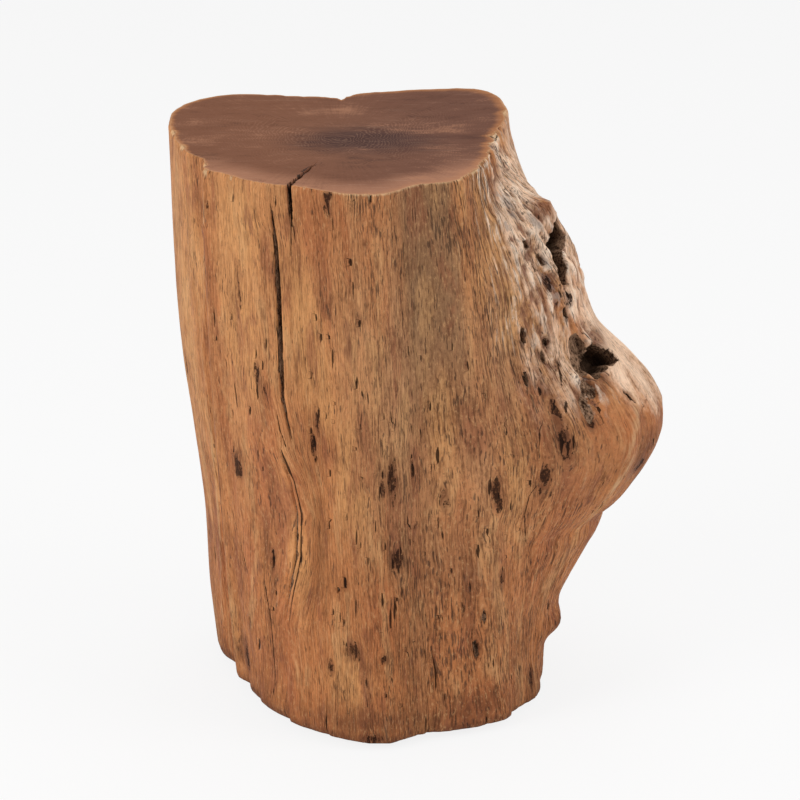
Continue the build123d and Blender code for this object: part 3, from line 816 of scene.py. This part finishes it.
class Pattern:
    """What one node gives over the wood: a number, a place or a colour, to be reckoned with as it stands."""

    def __init__(self, finish, socket):
        self.finish, self.socket = finish, socket

    def math(self, kind, other=0.0, third=0.0, clamp=False):
        return self.finish.node("Math", 0, {0: self, 1: other, 2: third}, operation=kind, use_clamp=clamp)

    def __add__(self, other):
        return self.math("ADD", other)

    def __mul__(self, other):
        return self.math("MULTIPLY", other)

    def __sub__(self, other):
        return self.math("SUBTRACT", other)

    def __rsub__(self, other):
        return self.math("MULTIPLY_ADD", -1.0, other)

    __radd__ = __add__

    def span(self, low, high, start=0.0, end=1.0):
        """Maps low to start and high to end, smoothly and no further."""
        inputs = {"Value": self, "From Min": low, "From Max": high, "To Min": start, "To Max": end}
        return self.finish.node("MapRange", "Result", inputs, interpolation_type="SMOOTHSTEP")

    def between(self, first, second):
        """The first colour where this is 0, and the second where it is 1."""
        return self.finish.node("Mix", 2, {0: self, 6: first, 7: second}, data_type="RGBA")

    def coat(self, share, color):
        """This colour with a share of another one laid over it."""
        return share.between(self, color)

    def lit(self, value):
        """This colour made lighter or darker."""
        return self.finish.node("HueSaturation", "Color", {"Value": value, "Color": self})

    def mapped(self, scale, shift=(0, 0, 0), turn=(0, 0, 0)):
        """This place stretched, turned and shifted."""
        inputs = {"Vector": self, "Scale": scale, "Location": shift, "Rotation": turn}
        return self.finish.node("Mapping", "Vector", inputs)

    def axes(self):
        """This place's parts along X, Y and Z."""
        parts = self.finish.node("SeparateXYZ", 0, {0: self}).socket.node
        return [Pattern(self.finish, socket) for socket in parts.outputs]

    def noise(self, scale, shift=(0, 0, 0), turn=(0, 0, 0), detail=2.0, rough=0.5, twist=0.0):
        """Cloudy noise over this place, stretched, turned and shifted."""
        inputs = {"Vector": self.mapped(scale, shift, turn), "Scale": 1.0, "Detail": detail}
        inputs.update({"Roughness": rough, "Distortion": twist})
        return self.finish.node("TexNoise", "Fac", inputs)

    def cells(self, scale):
        """How far each point is from the nearest of many scattered ones."""
        return self.finish.node("TexVoronoi", "Distance", {"Vector": self.mapped(scale), "Scale": 1.0})


class Finish:
    """The nodes of a material or of the world, with a short way to add one."""

    def __init__(self, holder):
        holder.use_nodes = True
        self.holder = holder
        self.nodes, self.links = holder.node_tree.nodes, holder.node_tree.links
        self.output = next(node for node in self.nodes if "Output" in node.name)
        self.shader = next(node for node in self.nodes if node != self.output)

    def feed(self, socket, value):
        """Sets a socket to a value, or links it to a pattern."""
        if isinstance(value, Pattern):
            self.links.new(value.socket, socket)
        else:
            socket.default_value = value

    def node(self, kind, output, inputs=(), **settings):
        """Adds a node with its settings, feeds its inputs, and gives one of its outputs."""
        made = self.nodes.new("ShaderNode" + kind)
        for name, setting in settings.items():
            setattr(made, name, setting)
        for name, value in dict(inputs).items():
            self.feed(made.inputs[name], value)
        return Pattern(self, made.outputs[output])

    def attribute(self, name, output="Fac"):
        return self.node("Attribute", output, attribute_name=name)

    def place(self):
        return self.node("TexCoord", "Object")

    def surface(self, inputs):
        """Feeds the shader's own sockets."""
        for name, value in inputs.items():
            self.feed(self.shader.inputs[name], value)

    def bump(self, height, distance, strength=1.0):
        inputs = {"Strength": strength, "Distance": distance, "Height": height}
        self.surface({"Normal": self.node("Bump", "Normal", inputs)})


def blend(start, *weighed):
    """Adds each pattern's swing about one half, times its weight, to the start."""
    for pattern, weight in weighed:
        start = (pattern - 0.5).math("MULTIPLY_ADD", weight, start)
    return start


# Side grain: tan sapwood with orange and red-brown patches, olive-brown in the middle, partly the wood's own
# colour and partly painted shade down the front valley, with fine torn fibres
side = Finish(bpy.data.materials.new("log_side_grain"))
grain, where = side.attribute("grain", "Vector"), side.place()
coarse_mark, rough_mark, burl_mark = (side.attribute(name) for name in ("coarse", "rough", "burl"))
olive_and_valley_shade_mark, gnarl_mark, depth_mark = (side.attribute(name) for name in ("olive_and_valley_shade", "gnarl", "depth"))
bleach_and_top_light_mark, weather_mark, fleck_mark = (side.attribute(name) for name in ("bleach_and_top_light", "weather", "fleck"))
bands = grain.noise((30, 30, 4), (5, 0, 0))
patches = grain.noise((62, 62, 13), (0, 4, 0), detail=3, rough=0.6, twist=0.4)
streaks = grain.noise((130, 130, 9), detail=3, rough=0.6)
strands = grain.noise((600, 600, 34), rough=0.6, twist=0.15)
threads = grain.noise((1050, 1050, 52), (3, 0, 0), rough=0.7).span(0.28, 0.60, 0, 0.84)
clouds = where.noise((48, 48, 26), detail=4, rough=0.6)
mottle = where.noise((330, 330, 230), (0, 3, 0), detail=3, rough=0.65)
wall = where.noise((520, 520, 300), (6, 0, 0), detail=3, rough=0.7)
low_down = where.axes()[2].span(0.30, 0.03)

sapwood, middle_wood, foot_wood = paint(197, 134, 83), paint(181, 129, 87), paint(164, 97, 48)
band_brown, olive_brown_and_valley_shade, golden = paint(180, 110, 61), paint(143, 107, 74), paint(210, 150, 92)
ruddy_and_shade, patch_brown, patch_tan = paint(172, 100, 56), paint(142, 80, 50), paint(206, 154, 102)
bleached_and_top_lit, stained_and_shaded, fibre_brown = paint(240, 205, 175), paint(112, 62, 32), paint(98, 57, 31)
color = side.attribute("tone").between(sapwood, middle_wood)
color = color.coat(low_down * 0.62, foot_wood)
color = color.coat(bands.span(0.36, 0.64, 0, 0.70), band_brown)
# Olive-brown, partly the wood's colour and partly painted shade in the front valley
color = color.coat(olive_and_valley_shade_mark * 0.82, olive_brown_and_valley_shade)
color = color.coat(blend(side.attribute("gold"), (clouds, 1.2)).span(0.1, 0.9, 0, 0.55), golden)
# Red-brown zones, partly the wood's colour and partly painted shade
color = color.coat(blend(side.attribute("ruddy_and_shade"), (clouds, 1.2)).span(0.1, 0.9, 0, 0.60), ruddy_and_shade)
color = color.coat(patches.span(0.52, 0.68, 0, 0.58), patch_brown)
color = color.coat(patches.span(0.47, 0.33, 0, 0.48), patch_tan)
# Pale over the burl's top: partly bleached wood, partly painted light on the faces that look up
bleach_and_top_light_edge = blend(bleach_and_top_light_mark, (clouds, 1.5), (patches, 1.5), (streaks, 1.2), (mottle, 0.8))
color = color.coat(bleach_and_top_light_edge.span(0.05, 1.15, 0, 0.92) * bleach_and_top_light_mark.span(0.0, 0.30), bleached_and_top_lit)
# Dark stains, with painted shade at some of their places
stain_and_shade_edge = blend(side.attribute("stain_and_shade"), (clouds, 0.8), (strands, 0.7), (streaks, 0.6))
color = color.coat(stain_and_shade_edge.span(0.15, 0.95, 0, 0.80), stained_and_shaded)

# Torn wood at the burl's neck: crests painted pale, partly bleached wood and partly painted highlight, and
# pits painted red-brown, partly the wood's colour and partly painted shade
crest_white_and_highlight, pit_brown_and_shade = paint(252, 226, 202), paint(120, 72, 50)
gnarl_edge = blend(gnarl_mark, (strands, 1.1), (mottle, 1.3), (wall, 0.8), (threads, 0.3))
# Raised crests painted pale as bleached wood and highlight; sunk pits painted red-brown as wood colour and
# shade
color = color.coat(gnarl_edge.span(0.1, -1.3, 0, 0.95) * gnarl_mark.span(-0.02, -0.30), crest_white_and_highlight)
color = color.coat(gnarl_edge.span(0.0, 1.3, 0, 0.90) * gnarl_mark.span(0.02, 0.30), pit_brown_and_shade)

# Light and dark fibres, fainter where the burl was rubbed smooth and in the olive-brown wood, which is partly
# painted valley shade
strand_weight = 0.19 + coarse_mark * 0.20 - burl_mark * 0.16 - olive_and_valley_shade_mark * 0.20
thread_weight = 0.50 + coarse_mark * 0.26 - burl_mark * 0.30 + low_down * 0.14 - olive_and_valley_shade_mark * 0.28
mottle_weight = 0.3 + rough_mark * 1.2 + burl_mark * 0.5
level = blend(0.5, (streaks, 0.75), (strands, strand_weight), (threads, thread_weight), (clouds, 0.95))
level = blend(level, (mottle, mottle_weight))
color = color.coat(level.span(0.52, -0.05, 0, 0.80), fibre_brown)
color = color.lit(level.span(0.40, 1.05, 0.99, 1.36))

# Small flakes of torn grain, light and dark, and red-brown marks the length of a finger's width
flake_tan, flake_brown, mark_red = paint(222, 170, 116), paint(96, 54, 32), paint(122, 68, 48)
flakes = grain.noise((640, 640, 215), (0, 0, 5), detail=3, rough=0.7)
flake_weight = 0.34 + coarse_mark * 0.14 - burl_mark * 0.22
color = color.coat(flakes.span(0.53, 0.68) * flake_weight, flake_tan)
color = color.coat(flakes.span(0.46, 0.33) * flake_weight, flake_brown)
red_marks = grain.noise((105, 105, 27), (4, 8, 0), detail=3, rough=0.6)
color = color.coat(red_marks.span(0.60, 0.72, 0, 0.42), mark_red)

# Pores and torn fibres as short dark dashes, crowded in places, and small pits in the rough wood, darkened
# partly as painted shade
pore_brown, pit_dark_and_shade = paint(66, 39, 24), paint(64, 44, 34)
pores = grain.noise((1050, 1050, 105), (9, 0, 0), detail=1)
pore_level = blend(pores, (grain.noise((70, 70, 26), (0, 7, 0)), 0.45))
pore_level = pore_level + side.attribute("dense") * 0.07 + coarse_mark * 0.048 - burl_mark * 0.045
pore_mark = pore_level.span(0.69, 0.75)
color = color.coat(pore_mark * 0.70, pore_brown)
# The pits in the rough wood are darkened, partly as painted shade in them
pit_edge = blend(where.cells((240, 240, 170)), (mottle, 0.9))
pit_mark = pit_edge.span(0.26, 0.08) * rough_mark.span(0.2, 0.9)
color = color.coat(pit_mark * 0.70, pit_dark_and_shade)

# Weathered grey patches, ridges pale with wear and painted highlight, then bark left in the wood and the dark
# checks
weathered, worn_pale_and_highlight, bark_stain = paint(150, 136, 130), paint(226, 188, 142), paint(124, 72, 42)
bark_dark, bark_brown, check_dark = paint(42, 25, 19), paint(124, 80, 52), paint(38, 23, 16)
check_sharpness = 3500.0
line_waver = 0.0007
weather_edge = blend(weather_mark, (mottle, 2.0), (strands, 1.6), (threads, 0.5))
color = color.coat(weather_edge.span(0.35, 1.10, 0, 0.65) * weather_mark.span(0.0, 0.3), weathered)
# Pale ridges and seat edge: partly wear, partly painted highlight
rub_and_highlight_edge = blend(side.attribute("rub_and_highlight"), (strands, 0.9), (threads, 0.35), (clouds, 0.8))
color = color.coat(rub_and_highlight_edge.span(0.12, 0.95, 0, 0.75), worn_pale_and_highlight)
color = color.coat(fleck_mark.span(0.0, 0.9) * 0.55, bark_stain)
fleck_edge = blend(fleck_mark, (strands, 2.6), (threads, 0.9), (mottle, 2.2))
bark_mark = fleck_edge.span(0.78, 1.05) * fleck_mark.span(0.05, 0.40)
bark_color = blend(wall, (threads, 0.12)).span(0.52, 0.74).between(bark_dark, bark_brown)
color = color.coat(bark_mark * 0.90, bark_color)
line_mark = 0.0
for number in range(line_layers):
    aside = side.attribute(f"line_side_{number}") + (threads - 0.5) * line_waver
    width = side.attribute(f"line_width_{number}") * strands.span(0.3, 0.7, 0.5, 1.5)
    inside = (width - aside.math("ABSOLUTE")).math("MULTIPLY", check_sharpness, clamp=True)
    line_mark = inside.math("MAXIMUM", line_mark)
color = color.coat(line_mark * 0.90, check_dark)

# Inside the hollows the wood is crumbled brown rot, painted darker the deeper it lies as shade
rot_brown, rot_tan, rot_dark_and_depth_shade = paint(60, 40, 28), paint(182, 144, 115), paint(60, 43, 31)
rot_sharpness = 450.0
depth_edge = blend(depth_mark * rot_sharpness, (mottle, 1.6), (strands, 1.2), (threads, 0.3))
inside = depth_edge.span(0.55, 0.85) * depth_mark.span(0.0002, 0.0009)
rot = blend(wall, (strands, 0.5), (threads, 0.16)).span(0.32, 0.68).between(rot_brown, rot_tan)
color = color.coat(inside, rot)
# Painted shade that deepens with the depth of the cut
color = color.coat(depth_mark.span(0.005, 0.020, 0, 0.85), rot_dark_and_depth_shade)

height = blend(0.5, (strands, strand_weight * 0.70), (threads, thread_weight * 0.45), (streaks, 0.5))
height = blend(height, (mottle, mottle_weight * 0.8))
for mark, sunk in ((pore_mark, 0.30), (pit_mark, 0.6), (bark_mark, 0.35), (line_mark, 0.8)):
    height = height - mark * sunk
side.bump(height + inside * (wall * 1.6 - height), 0.0016)
dull = bark_mark.math("MAXIMUM", line_mark).math("MAXIMUM", inside)
roughness = level.span(0.2, 0.8, 0.72, 0.54)
side.surface({"Base Color": color, "Roughness": roughness, "Specular IOR Level": 0.30 - dull * 0.24})

# Seat end grain: oiled red-brown, darker at its heart, with fine rings and rays, a paler edge that is partly
# sapwood and partly painted highlight, and painted sheen over its front
seat_brown, seat_dark, heart_dark = paint(127, 81, 57), paint(113, 73, 56), paint(70, 44, 40)
edge_tan, front_sheen, rim_pale_and_highlight = paint(182, 120, 74), paint(184, 130, 100), paint(208, 160, 118)
streak_dark, streak_tan, scratch_pale = paint(66, 42, 36), paint(188, 132, 98), paint(206, 168, 142)
ring_tan, check_depth_shade, seat_check_dark = paint(190, 146, 118), paint(34, 20, 14), paint(38, 24, 18)
heart_x = 0.022
seat = Finish(bpy.data.materials.new("seat_end_grain"))
where, ring = seat.place(), seat.attribute("ring")
from_pith = where.mapped((1, 1, 1), (-pith(log_length), 0, 0))
pith_x, pith_y = from_pith.axes()[:2]
patches = where.noise((16, 42, 1), detail=4, rough=0.6)
streaks = where.noise((60, 330, 1), (2, 0, 0), detail=3, rough=0.6)
grit = where.noise((1000, 1000, 1))
rays = seat.node("CombineXYZ", 0, {0: pith_y.math("ARCTAN2", pith_x), 1: ring}).noise((42, 2.5, 1), rough=0.6)
ring_turns = ring * 310.0 + where.noise((45, 45, 1), detail=3) * 60.0
ring_lines = ring_turns.math("SINE") * 0.5 + 0.5
level = blend(0.5, (patches, 1.35), (streaks, 0.45), (rays, 0.4), (grit, 0.40), (ring_lines, 0.09))
heart_aside, heart_along = (pith_x - heart_x) * 18.0, pith_y * 34.0
heart_far = (heart_aside * heart_aside + heart_along * heart_along).math("SQRT")
heart = blend(heart_far, (patches, 1.2), (streaks, 0.8)).span(1.45, 0.25)
color = pith_x.span(-0.06, 0.10).between(seat_brown, seat_dark)
color = color.coat(heart * 0.85, heart_dark)
edge_width = pith_x.span(-0.05, 0.06, 0.022, 0.045)
edge_far = (1.0 - blend(ring, (patches, 0.05), (streaks, 0.05))).math("DIVIDE", edge_width)
color = color.coat(edge_far.span(1.6, 0.2, 0, 0.80), edge_tan)
# Painted sheen over the seat's front, then a pale rim that is partly sapwood and partly painted highlight
color = color.coat(ring.span(0.70, 0.95) * pith_y.span(-0.02, -0.07) * 0.66, front_sheen)
color = color.coat(ring.span(0.985, 0.998, 0, 0.55), rim_pale_and_highlight)
color = color.coat(level.span(0.46, 0.10, 0, 0.52), streak_dark)
color = color.coat(level.span(0.54, 0.95, 0, 0.55), streak_tan)
scratches = where.noise((26, 1500, 1), turn=(0, 0, 0.5), detail=0)
scratches = scratches.math("MAXIMUM", where.noise((30, 1500, 1), turn=(0, 0, -0.4), detail=0))
color = color.coat(scratches.span(0.80, 0.86, 0, 0.30), scratch_pale)
color = color.coat(ring_lines.span(0.70, 1.0) * ring.span(0.80, 0.30) * 0.17, ring_tan)
# Painted shade inside the seat's check, darker with its depth
color = color.coat(seat.attribute("depth").span(0.0006, 0.006), check_depth_shade)

# The seat's check carries on inwards as a thin dark line that steps from side to side, and bends past a point
check_bend = 0.040
check_line_length = seat_check_length + 0.026
seat_check_sharpness = 3000.0
check_way = from_pith.mapped((1, 1, 1), turn=(0, 0, -math.radians(seat_check_angle)))
check_out, check_aside = check_way.axes()[:2]
check_in = check_radius - check_out
steps = check_way.noise((190, 60, 1), detail=3, rough=0.7)
beyond = (check_in - check_bend).math("MAXIMUM", 0.0)
check_aside = check_aside + (steps - 0.5) * 0.011 - beyond * 0.50
check_half = check_in.span(0.0, check_line_length, 0.0018, -0.0002)
check_line = (check_half - check_aside.math("ABSOLUTE")).math("MULTIPLY", seat_check_sharpness, clamp=True)
color = color.coat(check_line * 0.85, seat_check_dark)
seat.surface({"Base Color": color, "Roughness": level.span(0.2, 0.8, 0.62, 0.48), "Specular IOR Level": 0.16})
seat.bump(blend(0.5, (streaks, 0.3), (grit, 0.6), (ring_lines, 0.12)), 0.00025, 0.5)

# Foot end grain: bare sawn wood that nobody sees, with the saw's fine scores across it
foot = Finish(bpy.data.materials.new("foot_end_grain"))
scores = foot.place().noise((12, 900, 1))
ring_lines = (foot.attribute("ring") * 260.0).math("SINE")
color = scores.between(paint(150, 108, 74), paint(180, 136, 96))
color = color.coat(ring_lines.span(0.0, 1.0, 0, 0.25), paint(110, 74, 50))
foot.surface({"Base Color": color, "Roughness": 0.8})
foot.bump(scores, 0.0003, 0.6)

for finish in (side, seat, foot):
    log.data.materials.append(finish.holder)
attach(log, "root")
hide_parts("trunk")

# The glides: a moulded nylon base under each side of the foot, a plated nail through it, and a felt disc
# glued over the nail's head, which the stool slides on. They keep the solids' shapes.
nylon = Finish(bpy.data.materials.new("glide_nylon"))
where = nylon.place()
mottle = where.noise((260, 260, 260), detail=3)
color = mottle.between(paint(92, 68, 52), paint(112, 84, 64))
nylon.surface({"Base Color": color, "Roughness": mottle.span(0.3, 0.7, 0.42, 0.55)})
nylon.bump(where.noise((1800, 1800, 1800)), 0.00005, 0.6)

felt = Finish(bpy.data.materials.new("glide_felt"))
where = felt.place()
fluff = where.noise((1500, 1500, 900), detail=4, rough=0.7, twist=1.0)
clumps = where.noise((300, 300, 300)).span(0.4, 0.7, 0, 0.3)
color = fluff.between(paint(74, 56, 46), paint(118, 96, 80)).coat(clumps, paint(60, 46, 38))
felt.surface({"Base Color": color, "Roughness": 0.95, "Sheen Weight": 0.3})
felt.bump(fluff, 0.0004, 0.9)

plating = Finish(bpy.data.materials.new("nail_plating"))
draw_marks = plating.place().noise((2400, 2400, 120))
color = draw_marks.between(paint(176, 178, 184), paint(206, 206, 210))
plating.surface({"Base Color": color, "Metallic": 1.0, "Roughness": draw_marks.span(0.3, 0.7, 0.28, 0.42)})
plating.bump(draw_marks, 0.00003, 0.5)

for name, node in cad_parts.items():
    if name != "trunk":
        node.data.materials.clear()
        kind = nylon if "base" in name else felt if "felt" in name else plating
        node.data.materials.append(kind.holder)

# The studio: a pale paper floor that keeps the log's soft shadow, a white room, and three soft lamps. To the
# camera alone the paper and the room glow white, which adds no light to the log.
white = (1, 1, 1, 1)
floor_mesh = bmesh.new()
bmesh.ops.create_circle(floor_mesh, cap_ends=True, radius=6.0, segments=96)
floor = put_in_scene("floor", floor_mesh)
paper = Finish(bpy.data.materials.new("studio_paper"))
paper.surface({"Base Color": paint(238, 238, 238), "Roughness": 0.9, "Specular IOR Level": 0.0})
floor.data.materials.append(paper.holder)
room = Finish(bpy.data.worlds.new("studio_room"))
room.surface({"Color": white, "Strength": 0.42})
bpy.context.scene.world = room.holder
for finish, kind, share in ((paper, "Emission", 0.84), (room, "Background", 1.0)):
    seen = finish.node("LightPath", "Is Camera Ray") * share
    glow = finish.node(kind, 0, {"Color": white, "Strength": 1.0})
    plain = Pattern(finish, finish.shader.outputs[0])
    finish.feed(finish.output.inputs["Surface"], finish.node("MixShader", 0, {0: seen, 1: plain, 2: glow}))

lamp_aim = Vector((0, 0, 0.25))
for name, place, power, size in (
    ("lamp_left", (-1.9, -1.1, 1.3), 25.0, 1.2),
    ("lamp_right", (2.0, -0.6, 1.5), 17.0, 1.2),
    ("lamp_above", (0.1, 0.3, 2.3), 10.0, 1.5),
):
    lamp_data = bpy.data.lights.new(name, "AREA")
    lamp_data.energy = power
    lamp_data.shape = "DISK"
    lamp_data.size = size
    lamp = bpy.data.objects.new(name, lamp_data)
    lamp.location = place
    lamp.rotation_euler = (lamp_aim - Vector(place)).to_track_quat("-Z", "Y").to_euler()
    bpy.context.scene.collection.objects.link(lamp)

# The camera stands where the photograph's stood, 2.4 m in front and looking down a quarter of a right angle
film_width = 36.0
camera_data = bpy.data.cameras.new("camera")
camera_data.lens = camera_focus * film_width / (2 * photo_middle)
camera_data.sensor_width = film_width
camera = bpy.data.objects.new("camera", camera_data)
camera.location = camera_place
camera.rotation_euler = (math.radians(90) - camera_pitch, 0, 0)
bpy.context.scene.collection.objects.link(camera)
bpy.context.scene.camera = camera
bpy.context.scene.view_settings.view_transform = "Standard"
